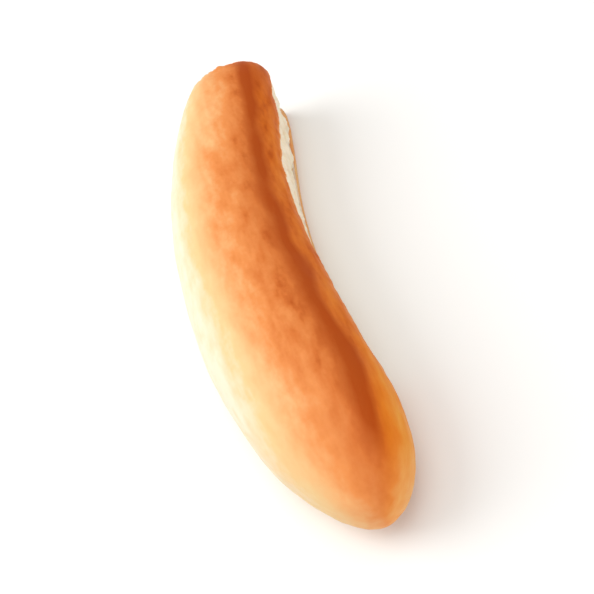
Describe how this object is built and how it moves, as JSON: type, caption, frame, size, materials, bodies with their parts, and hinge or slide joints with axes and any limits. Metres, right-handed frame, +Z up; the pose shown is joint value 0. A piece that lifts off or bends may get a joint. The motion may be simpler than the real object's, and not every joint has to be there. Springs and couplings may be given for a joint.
{
  "type": "hot dog bun",
  "caption": "Soft hot dog bun, long and slightly bent, with a domed golden crust, a flat base and pale torn crumb on the side and end that touched other buns.",
  "frame": {"origin": "centre of the bounding box's bottom face, on the bun's flat base", "axes": "+X along the bun towards its free, crusted end; +Y across it towards the side that touched the next bun; +Z up"},
  "size_m": [0.1616, 0.0502, 0.0382],
  "materials": {
    "crust": "satin",
    "crumb": "matte"
  },
  "bodies": {
    "root": {"bun": "crust"}
  },
  "joints": []
}
